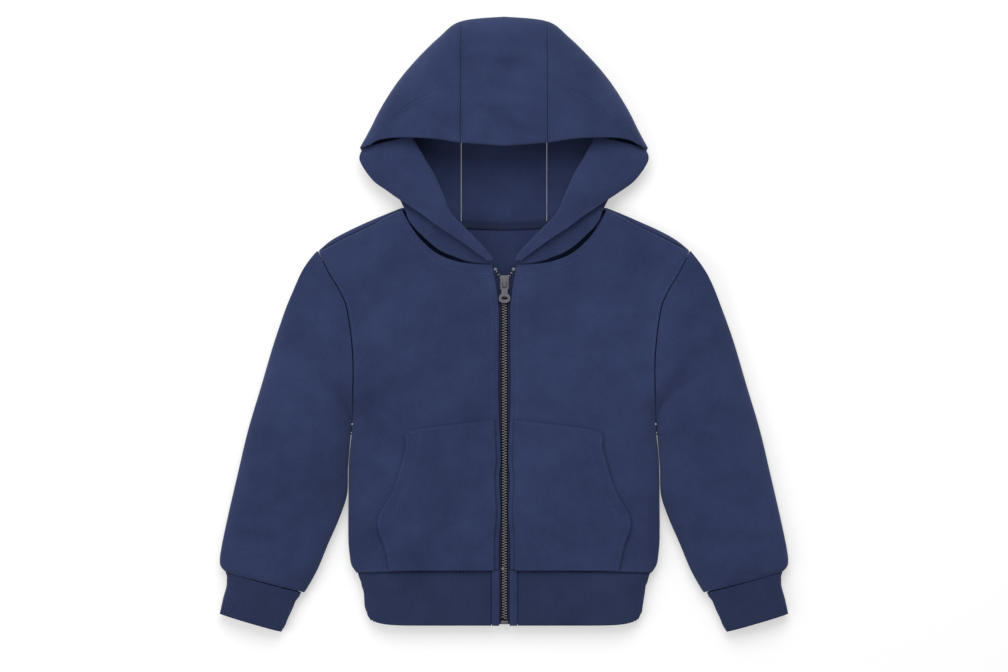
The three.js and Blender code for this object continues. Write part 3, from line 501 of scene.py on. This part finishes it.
def pocket_surface(sign):
    def surface(u, v):
        outline = between(POCKET, mix(2 / 7, 1, v))
        top = between(POCKET, (2 / 7) * u)
        drop = (POCKET["y"][2] - outline["y"]) / (POCKET["y"][2] - POCKET["y"][7])
        y = mix(top["y"], hem_y(outline["x"]) + 1.2, drop)
        inner = along(ZIP_GAP, "y", "half", np.minimum(y, POCKET["y"][0])) + 5.6
        x = mix(inner, outline["x"], u)
        out_x = sign * x + (1 - u) * ZIP_X
        return stack(out_x, y, front_z(x, y) + SEAM * 1.5 + CLOTH + front_relief(out_x, y))
    return surface


def hood_surface(u, v):
    """The hood's sheet from the brim over the crown's fold and back beneath to the neck."""
    row = between(HOOD, u)
    fold_z = mix(HOOD_FOLD_Z, 11, u)
    angle = (np.pi / 2) * (1 - clamp(v / 0.5, 0, 1))
    t = 1 - np.cos(angle)
    top = [mix(row["fold_x"], row["brim_x"], t), mix(row["fold_y"], row["brim_y"], t),
           mix(fold_z, row["high"], np.maximum(np.sin(angle), 0) ** 0.9)]
    far = np.hypot(row["rear_x"] - row["fold_x"], row["rear_y"] - row["fold_y"])
    turn, w, bend = HOOD_ROUND / far, clamp((v - 0.5) / 0.5, 0, 1), 0.4
    round_angle = (np.pi / 2) * np.minimum(w / bend, 1)
    q = np.where(w < bend, turn * (1 - np.cos(round_angle)), mix(turn, 1, (w - bend) / (1 - bend)))
    x, y = mix(row["fold_x"], row["rear_x"], q), mix(row["fold_y"], row["rear_y"], q)
    lift = under_z(x, np.minimum(y, shoulder_y(x))) * np.where(x < 97, smooth(1 - (y - row["rear_y"]) / 20), 0)
    z = np.where(w < bend, fold_z * (1 - np.sin(round_angle)), np.maximum(lift, 0))
    over = v < 0.5
    return [np.where(over, top[0], x), np.where(over, top[1], y), np.where(over, top[2], z)]


def turn_surface(u, v):
    """The hood's turned-back side: free edge, rise to the roll, half turn, and down to the foot."""
    row = between(TURN, u)
    over, under = 0.4, 0.62
    reach_x, reach_y = row["roll_x"] - row["edge_x"], row["roll_y"] - row["edge_y"]
    long = np.hypot(reach_x, reach_y)
    t = clamp(v / over, 0, 1)
    angle = np.pi * clamp((v - over) / (under - over), 0, 1)
    w = clamp((v - under) / (1 - under), 0, 1)
    out = ROLL * np.sin(angle) / long
    x = np.where(v < over, row["edge_x"] + reach_x * t, row["roll_x"] + reach_x * out)
    y = np.where(v < over, row["edge_y"] + reach_y * t, row["roll_y"] + reach_y * out)
    z = np.where(v < over, mix(row["edge_z"], row["roll_z"] + ROLL, np.sin((np.pi / 2) * t)),
                 row["roll_z"] + ROLL * np.cos(angle))
    down = v > under
    return [np.where(down, mix(row["roll_x"], row["foot_x"], w), x),
            np.where(down, mix(row["roll_y"], row["foot_y"], w), y),
            np.where(down, mix(row["roll_z"] - ROLL, row["foot_z"], w), z)]


def zip_z(y):
    return np.where(y > HEM_Y, crown_at(y), mix(crown_at(np.array(HEM_Y)), 17.0, (HEM_Y - y) / 53.3))


def chain_x(y):
    return 1.625 + 7.6 * smooth((y - 38) / 15) ** 1.2


# ---------------------------------------------------------------- materials


def node(tree, kind, at, **values):
    made = tree.nodes.new(kind)
    made.location = at
    for name, value in values.items():
        if name in made.inputs:
            made.inputs[name].default_value = value
        else:
            setattr(made, name, value)
    return made


def shader(name):
    """A new material with its tree and its surface shader."""
    material = bpy.data.materials.new(name)
    material.use_nodes = True
    return material, material.node_tree, material.node_tree.nodes["Principled BSDF"]


def cloth_material(name, deep, pale, grain, ribbed=False):
    """
    Washed cotton: two blues mixed by cloudy noise, a fine vertical knit grain in the colour
    and the bump, and a dry sheen. The ribbed argument is not used.
    """
    material, tree, surface = shader(name)
    links = tree.links
    place = node(tree, "ShaderNodeTexCoord", (-1200, 0))
    cloudy = node(tree, "ShaderNodeTexNoise", (-900, 250), Scale=22.0, Detail=5.0, Roughness=0.6)
    stretch = node(tree, "ShaderNodeMapping", (-1050, -100))
    stretch.inputs["Scale"].default_value = (1.0, 0.22, 1.0)
    streaks = node(tree, "ShaderNodeTexNoise", (-900, -50), Scale=1500.0, Detail=2.0, Roughness=0.6)
    links.new(place.outputs["Object"], cloudy.inputs["Vector"])
    links.new(place.outputs["Object"], stretch.inputs["Vector"])
    links.new(stretch.outputs["Vector"], streaks.inputs["Vector"])
    blend = node(tree, "ShaderNodeMath", (-650, 100), operation="MULTIPLY_ADD")
    blend.inputs[1].default_value = grain
    links.new(streaks.outputs["Fac"], blend.inputs[0])
    links.new(cloudy.outputs["Fac"], blend.inputs[2])
    ramp = node(tree, "ShaderNodeValToRGB", (-450, 100))
    ramp.color_ramp.elements[0].position = 0.35 + grain * 0.3
    ramp.color_ramp.elements[0].color = (*deep, 1)
    ramp.color_ramp.elements[1].position = 0.75 + grain * 0.7
    ramp.color_ramp.elements[1].color = (*pale, 1)
    links.new(blend.outputs[0], ramp.inputs["Fac"])
    links.new(ramp.outputs["Color"], surface.inputs["Base Color"])
    bump = node(tree, "ShaderNodeBump", (-250, -250), Strength=0.35, Distance=0.0004)
    links.new(streaks.outputs["Fac"], bump.inputs["Height"])
    links.new(bump.outputs["Normal"], surface.inputs["Normal"])
    surface.inputs["Roughness"].default_value = 0.92
    surface.inputs["Sheen Weight"].default_value = 0.25
    surface.inputs["Sheen Roughness"].default_value = 0.6
    surface.inputs["Sheen Tint"].default_value = (0.35, 0.42, 0.7, 1)
    surface.inputs["Specular IOR Level"].default_value = 0.2
    return material


def metal_material(name, colour):
    """Dark gunmetal with smudged roughness and faint brushed bump."""
    material, tree, surface = shader(name)
    place = node(tree, "ShaderNodeTexCoord", (-900, 0))
    smudge = node(tree, "ShaderNodeTexNoise", (-700, 0), Scale=420.0, Detail=4.0)
    ramp = node(tree, "ShaderNodeMapRange", (-450, 0))
    ramp.inputs["To Min"].default_value = 0.25
    ramp.inputs["To Max"].default_value = 0.5
    bump = node(tree, "ShaderNodeBump", (-250, -250), Strength=0.2, Distance=0.0001)
    tree.links.new(place.outputs["Object"], smudge.inputs["Vector"])
    tree.links.new(smudge.outputs["Fac"], ramp.inputs["Value"])
    tree.links.new(ramp.outputs["Result"], surface.inputs["Roughness"])
    tree.links.new(smudge.outputs["Fac"], bump.inputs["Height"])
    tree.links.new(bump.outputs["Normal"], surface.inputs["Normal"])
    surface.inputs["Base Color"].default_value = (*colour, 1)
    surface.inputs["Metallic"].default_value = 1.0
    return material


def finish(piece, material, slot, *nodes, body=GARMENT):
    """Gives a piece its material, its body and the CAD nodes it stands for. The slot argument is not used."""
    piece.data.materials.clear()
    piece.data.materials.append(material)
    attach(piece, body)
    if nodes:
        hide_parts(*nodes)
    return piece


def finishes(settings):
    """The garment's materials, made once."""
    names = ("washed fleece", "rib knit", "woven tape", "thread", "gunmetal")
    if names[0] not in bpy.data.materials:
        deep, pale = np.array(settings.deep), np.array(settings.pale)
        cloth_material(names[0], deep, pale, 0.5)
        cloth_material(names[1], deep * 0.85, pale * 0.8, 0.4)
        cloth_material(names[2], deep * 0.6, pale * 0.5, 0.6)
        cloth_material(names[3], deep * 1.3, pale * 1.5, 0.8)
        metal_material(names[4], settings.metal)
    return [bpy.data.materials[name] for name in names]


SIDES = (("left", -1), ("right", 1))

# ---------------------------------------------------------------- settings and operators


class SweatshirtSettings(bpy.types.PropertyGroup):
    deep: FloatVectorProperty(name="Deep blue", description="Colour of the unworn cloth", subtype="COLOR",
                              size=3, default=(0.0135, 0.0215, 0.066), min=0, max=1)
    pale: FloatVectorProperty(name="Washed blue", description="Colour of the washed cloth", subtype="COLOR",
                              size=3, default=(0.026, 0.039, 0.108), min=0, max=1)
    metal: FloatVectorProperty(name="Gunmetal", description="Colour of the zip", subtype="COLOR",
                               size=3, default=(0.16, 0.16, 0.18), min=0, max=1)
    floor_drop: FloatProperty(name="Floor gap", description="Gap between the cloth and the floor",
                              default=0.0004, min=0, unit="LENGTH")


class MakeBody(bpy.types.Operator):
    """Make the fronts, the back, and their seams' topstitching"""
    bl_idname = "sweatshirt.body"
    bl_label = "Body"

    def execute(self, context):
        fleece, _, _, thread, _ = finishes(context.scene.sweatshirt)
        paths = []
        for word, sign in SIDES:
            piece = wall(f"front_panel_{word}", front_surface(sign), gathered_last(90), np.linspace(0, 1, 170),
                         CLOTH, (0.5, 0.5, 1), lambda p, u, v: front_relief(p[..., 0], p[..., 1]))
            finish(piece, fleece, "fleece", f"front_{word}")
            t = np.linspace(0, 1, 60)
            neck = between(NECK, t)
            paths.append(on_front(sign * (neck["x"] * 0.985 + 1), neck["y"] - 8.5 + 1.5 * t))
            ys = np.linspace(47, HEM_Y + 2, 120)
            paths.append(on_front(sign * (along(ZIP_GAP, "y", "half", ys) + 7) + ZIP_X, ys))
            xs = np.linspace(13, 139, 90)
            paths.append(on_front(sign * xs, hem_y(xs) + 2.2))
            xs = np.linspace(99, 174, 50)
            paths.append(on_front(sign * xs, shoulder_seam_y(xs) - 2.2))
            ys = np.linspace(60, -70, 80)
            paths.append(on_front(sign * (along(ARMHOLE, "y", "x", ys) - 2.2), ys))
        piece = stitches("body_topstitching", paths, 0.05)
        finish(piece, thread, "fleece")
        rows = np.concatenate([np.linspace(0, 0.12, 24)[:-1], np.linspace(0.12, 1, 80)])
        half = gathered_last(60)
        cols = np.concatenate([(1 - half[::-1]) / 2, (1 + half[1:]) / 2])
        low = lambda p, u, v: -0.25 + 0.2 * ripples(p[..., 0], p[..., 1], 8, 50) * smooth(p[..., 2] / 3)
        piece = wall("back_panel", back_surface, cols, rows, CLOTH, (0.5, 0.5, -1), low)
        finish(piece, fleece, "fleece", "back")
        return {"FINISHED"}


class MakeSleeves(bpy.types.Operator):
    """Make the sleeves and their rib cuffs"""
    bl_idname = "sweatshirt.sleeves"
    bl_label = "Sleeves and cuffs"

    def execute(self, context):
        fleece, rib, _, thread, _ = finishes(context.scene.sweatshirt)
        for word, sign in SIDES:
            def relief(p, u, v):
                x, y = np.abs(p[..., 0]), p[..., 1]
                top = smooth((p[..., 2] - 10) / 6)
                gather = 0.7 * smooth((u - 0.86) / 0.14) * ripples(v * 260, u * 20, 12 + sign, 14)
                return top * (creased(SLEEVE_CREASES, x, y) + 0.7 * ripples(x, y, 10 + sign, 58) + gather)
            around = np.linspace(0, 1, 181)[:-1]
            piece = wall(f"sleeve_cloth_{word}", flat_tube(SLEEVE, sign, True), np.linspace(0, 1, 120), around,
                         CLOTH, (0.5, 0.25, 1), relief, around=True)
            finish(piece, fleece, "fleece", f"sleeve_{word}")
            around = np.linspace(0, 1, 361)[:-1]
            ribs = lambda p, u, v: 0.3 * np.sin(2 * np.pi * (np.abs(p[..., 0]) + 0.27 * p[..., 1]) / RIB_PITCH)
            piece = wall(f"cuff_knit_{word}", flat_tube(CUFF, sign, False), np.linspace(0, 1, 16), around,
                         RIB_WALL - 0.4, (0.5, 0.25, 1), ribs, around=True)
            finish(piece, rib, "rib", f"cuff_{word}")
        return {"FINISHED"}


class MakeWaist(bpy.types.Operator):
    """Make the waist rib and the plain strips beside the zip"""
    bl_idname = "sweatshirt.waist"
    bl_label = "Waist rib"

    def execute(self, context):
        fleece, rib, _, _, _ = finishes(context.scene.sweatshirt)
        ribs = lambda p, u, v: 0.3 * np.sin(2 * np.pi * p[..., 0] / RIB_PITCH) - 0.3
        piece = wall("waist_knit", waist_surface, np.linspace(0, 1, 16), np.linspace(0, 1, 1441), RIB_WALL - 0.5,
                     (0.5, 0.5, -1), ribs)
        finish(piece, rib, "rib", "waist_rib")
        for word, sign in SIDES:
            def strip(u, v):
                row = between(WAIST, u)
                crown = 0.5 * np.sin(np.pi * v)
                return stack(sign * mix(4.9, 12.2, v) + ZIP_X, row["y"] + HEM_BOW * (1 - u), row["high"] + 0.4 + crown)
            relief = lambda p, u, v: 0.25 * ripples(p[..., 0], p[..., 1], 21, 9)
            piece = wall(f"strip_cloth_{word}", strip, np.linspace(0, 1, 50), np.linspace(0, 1, 10), CLOTH,
                         (0.5, 0.5, 1), relief)
            finish(piece, fleece, "fleece", f"rib_strip_{word}")
        return {"FINISHED"}


class MakePockets(bpy.types.Operator):
    """Make the two kangaroo pocket halves and their stitching"""
    bl_idname = "sweatshirt.pockets"
    bl_label = "Pockets"

    def execute(self, context):
        fleece, _, _, thread, _ = finishes(context.scene.sweatshirt)
        paths = []
        for word, sign in SIDES:
            piece = wall(f"pocket_cloth_{word}", pocket_surface(sign), np.linspace(0, 1, 70), np.linspace(0, 1, 90),
                         CLOTH, (0.5, 0.5, 1))
            finish(piece, fleece, "fleece", f"pocket_{word}")
            top = between(POCKET, np.linspace(0, 2 / 7, 50))
            paths.append(on_front(sign * top["x"], top["y"] - 2.2, CLOTH + SEAM))
            side = between(POCKET, np.linspace(2 / 7 + 0.02, 5 / 7, 60))
            for inset in (2.2, 11.5, 14):
                paths.append(on_front(sign * (side["x"] - inset), side["y"], CLOTH + SEAM))
            low = between(POCKET, np.linspace(5 / 7, 0.98, 30))
            paths.append(on_front(sign * (low["x"] - 2.2), low["y"], CLOTH + SEAM))
        finish(stitches("pocket_topstitching", paths, 0.05), thread, "fleece")
        return {"FINISHED"}


class MakeHood(bpy.types.Operator):
    """Make the three-panel hood, its turned-back sides and the neck tape"""
    bl_idname = "sweatshirt.hood"
    bl_label = "Hood"

    def execute(self, context):
        fleece, _, tape, thread, _ = finishes(context.scene.sweatshirt)
        rows = np.concatenate([np.linspace(0, 0.5, 80), np.linspace(0.5, 0.7, 30)[1:], np.linspace(0.7, 1, 40)[1:]])

        def relief(p, u, v):
            x, y = p[..., 0], p[..., 1]
            top = np.where(v < 0.5, smooth((0.5 - v) / 0.12), 0)
            seam = -0.8 * np.exp(-((np.abs(x) - 41) / 1.6) ** 2) + 0.3 * np.exp(-((np.abs(x) - 44) / 2) ** 2)
            edge = 0.35 * np.exp(-((v - 0.02) / 0.03) ** 2) * ripples(x, y, 30, 12)
            return top * (creased(HOOD_CREASES, x, y) + 0.8 * ripples(x, y, 31, 60) + seam) + edge

        def centre(u, v):
            s = 2 * u - 1
            x, y, z = hood_surface(np.abs(s) * HOOD_SEAM, v)
            return stack(np.sign(s) * x * ((41 - SEAM) / 41), y, z)
        piece = wall("hood_centre_panel", centre, np.linspace(0, 1, 60), rows, CLOTH, (0.5, 0, 1), relief)
        finish(piece, fleece, "fleece", "hood_centre")
        paths = []
        for word, sign in SIDES:
            def side(u, v):
                x, y, z = hood_surface(mix(HOOD_SEAM, 1, u), v)
                return stack(sign * x, y, z)

            def turned(u, v):
                x, y, z = turn_surface(u, v)
                return stack(sign * x, y, z)
            piece = wall(f"hood_side_{word}", side, np.linspace(0, 1, 90), rows, CLOTH, (0.2, 0, 1), relief)
            finish(piece, fleece, "fleece", f"hood_{word}")
            soft = lambda p, u, v: 0.5 * ripples(p[..., 0], p[..., 1], 40 + sign, 24) * smooth(u / 0.1)
            piece = wall(f"hood_turned_{word}", turned, np.linspace(0, 1, 110), np.linspace(0, 1, 90), CLOTH,
                         (0.5, 0.1, 1), soft)
            finish(piece, fleece, "fleece", f"hood_turn_{word}")
            for v in (0.075, 0.085):
                u = np.linspace(0.12, 1, 70)
                spots, ways = frame_of(side, u, np.full_like(u, v * 2))
                paths.append((spots, ways * np.sign(ways[:, 2:])))
            u = np.linspace(0.08, 0.5, 50)
            spots, ways = frame_of(turned, u, np.full_like(u, 0.17))
            paths.append((spots, ways * np.sign(ways[:, 2:])))
            for inset in (-1.8, 1.8):
                v = np.linspace(0.01, 0.4, 70)
                x, y, z = hood_surface(np.full_like(v, HOOD_SEAM + inset * 0.0035), v)
                spots = stack(sign * x, y, z)
                paths.append((spots, np.tile([0.0, 0.2, 0.98], (len(v), 1))))
        u = np.linspace(0, 1, 60)
        spots, ways = frame_of(centre, u, np.full_like(u, 0.16))
        paths.append((spots, ways * np.sign(ways[:, 2:])))
        finish(stitches("hood_topstitching", paths, 0.1), thread, "fleece")

        def band(u, v):
            s = 2 * u - 1
            row = between(BACK_NECK, np.abs(s) * 0.4)
            return stack(np.sign(s) * row["x"], row["y"] + mix(-3.2, 3.2, v), CLOTH + 1.5 + 0.5 * np.abs(s))
        piece = wall("neck_band", band, np.linspace(0, 1, 60), np.linspace(0, 1, 8), TAPE_WALL, (0.5, 0.5, 1))
        finish(piece, tape, "tape", "neck_tape")
        return {"FINISHED"}


def rounded_copy(name, source, width, material, body=GARMENT):
    """A welded copy of a CAD solid with softened edges, standing for it."""
    source_object = bpy.data.objects[source]
    shape = bmesh.new()
    shape.from_mesh(source_object.data)
    bmesh.ops.transform(shape, matrix=source_object.matrix_world, verts=shape.verts)
    bmesh.ops.remove_doubles(shape, verts=shape.verts, dist=1e-6)
    bmesh.ops.dissolve_limit(shape, angle_limit=0.02, verts=shape.verts, edges=shape.edges)
    mesh = bpy.data.meshes.new(name)
    shape.to_mesh(mesh)
    shape.free()
    piece = bpy.data.objects.new(name, mesh)
    bpy.context.scene.collection.objects.link(piece)
    soften = piece.modifiers.new("Softened edges", "BEVEL")
    soften.width = width
    soften.segments = 3
    soften.limit_method = "ANGLE"
    finish(piece, material, "zip_metal", source, body=body)
    return piece


class MakeZip(bpy.types.Operator):
    """Make the zip: tapes, teeth, stops, box, slider and pull tab"""
    bl_idname = "sweatshirt.zip"
    bl_label = "Zip"

    def execute(self, context):
        _, _, tape, _, metal = finishes(context.scene.sweatshirt)
        for word, sign in SIDES:
            def band(u, v):
                y = mix(50.4, -281.0, u)
                x = chain_x(y) + 1.5 + v * 8
                z = np.minimum(zip_z(y), np.where(y > HEM_Y, front_z(x, y), zip_z(y))) - 3.2
                return stack(sign * x + ZIP_X, y, z)
            piece = wall(f"zip_tape_cloth_{word}", band, np.linspace(0, 1, 200), np.linspace(0, 1, 8), TAPE_WALL,
                         (0.5, 0.5, 1))
            finish(piece, tape, "tape", f"zip_tape_{word}")
            pitch = 2.5
            ys = np.arange(49.5 - (sign > 0) * pitch / 2, -280, -pitch)
            xs = sign * chain_x(ys)
            slant = np.gradient(xs, ys)
            way = np.stack([np.full_like(ys, sign), -sign * slant, np.zeros_like(ys)], 1)
            way /= np.linalg.norm(way, axis=1, keepdims=True)
            mids = np.stack([xs + ZIP_X, ys, zip_z(ys) - 3.1], 1)
            ups = np.tile([0.0, 0.0, 1.0], (len(ys), 1))
            piece = bars(f"zip_teeth_{word}", mids - way * 2.5, mids + way * 1.7, ups, 0.85, 1.45)
            finish(piece, metal, "zip_metal", f"zip_chain_{word}")
            rounded_copy(f"top_stop_{word}", f"zip_stop_{word}", 0.0005, metal)
        rounded_copy("bottom_box", "zip_box", 0.0006, metal)
        rounded_copy("slider", "zip_slider", 0.0004, metal)
        rounded_copy("pull", "zip_pull", 0.0004, metal, body=PULL)
        return {"FINISHED"}


class MakeStage(bpy.types.Operator):
    """Make the white floor, the lamps and the camera"""
    bl_idname = "sweatshirt.stage"
    bl_label = "Stage"

    def execute(self, context):
        scene = context.scene
        corners = np.array([(-3, -3), (3, -3), (3, 3), (-3, 3)]) * 1000.0
        ground = stack(corners[:, 0], corners[:, 1], np.full(4, -scene.sweatshirt.floor_drop * 1000))
        floor = mesh_object("floor", ground, np.array([[0, 1, 2, 3]]), shade=False)
        material, tree, surface = shader("white floor")
        surface.inputs["Base Color"].default_value = (0.62, 0.62, 0.62, 1)
        surface.inputs["Roughness"].default_value = 1.0
        surface.inputs["Specular IOR Level"].default_value = 0.0
        light = node(tree, "ShaderNodeLightPath", (-300, -200))
        surface.inputs["Emission Color"].default_value = (1, 1, 1, 1)
        glow = node(tree, "ShaderNodeMath", (-100, -200), operation="MULTIPLY")
        glow.inputs[1].default_value = 0.42
        tree.links.new(light.outputs["Is Camera Ray"], glow.inputs[0])
        tree.links.new(glow.outputs[0], surface.inputs["Emission Strength"])
        floor.data.materials.append(material)

        world = bpy.data.worlds.new("studio")
        scene.world = world
        world.use_nodes = True
        world.node_tree.nodes["Background"].inputs["Color"].default_value = (1, 1, 1, 1)
        world.node_tree.nodes["Background"].inputs["Strength"].default_value = 0.5
        for name, place, size, power in (("high lamp", (0, 1.3, 1.7), 1.6, 30), ("side lamp", (-1.5, -0.2, 1.5), 1.2, 9)):
            lamp = bpy.data.lights.new(name, "AREA")
            lamp.size = size
            lamp.energy = power
            holder = bpy.data.objects.new(name, lamp)
            scene.collection.objects.link(holder)
            holder.location = place
            holder.rotation_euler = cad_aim(place)
        camera = bpy.data.cameras.new("camera")
        camera.lens = 100
        camera.sensor_width = 36
        camera.clip_end = 20
        holder = bpy.data.objects.new("camera", camera)
        scene.collection.objects.link(holder)
        holder.location = (0, -0.0109, 2.675)
        scene.camera = holder
        scene.view_settings.view_transform = "Standard"
        return {"FINISHED"}


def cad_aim(place):
    """Turn that points a lamp at the garment's middle."""
    from mathutils import Vector
    return (-Vector(place)).to_track_quat("-Z", "Y").to_euler()


OPERATORS = (MakeBody, MakeSleeves, MakeWaist, MakePockets, MakeHood, MakeZip, MakeStage)


class SweatshirtPanel(bpy.types.Panel):
    bl_idname = "VIEW3D_PT_sweatshirt"
    bl_label = "Sweatshirt"
    bl_space_type = "VIEW_3D"
    bl_region_type = "UI"
    bl_category = "Sweatshirt"

    def draw(self, context):
        for name in ("deep", "pale", "metal", "floor_drop"):
            self.layout.prop(context.scene.sweatshirt, name)
        for operator in OPERATORS:
            self.layout.operator(operator.bl_idname)


CLASSES = (SweatshirtSettings, *OPERATORS, SweatshirtPanel)


def register():
    for cls in CLASSES:
        bpy.utils.register_class(cls)
    bpy.types.Scene.sweatshirt = PointerProperty(type=SweatshirtSettings)


def unregister():
    del bpy.types.Scene.sweatshirt
    for cls in reversed(CLASSES):
        bpy.utils.unregister_class(cls)


def main():
    """Makes every piece in order."""
    register()
    for name in ("body", "sleeves", "waist", "pockets", "hood", "zip", "stage"):
        getattr(bpy.ops.sweatshirt, name)()


if __name__ == "__main__":
    main()
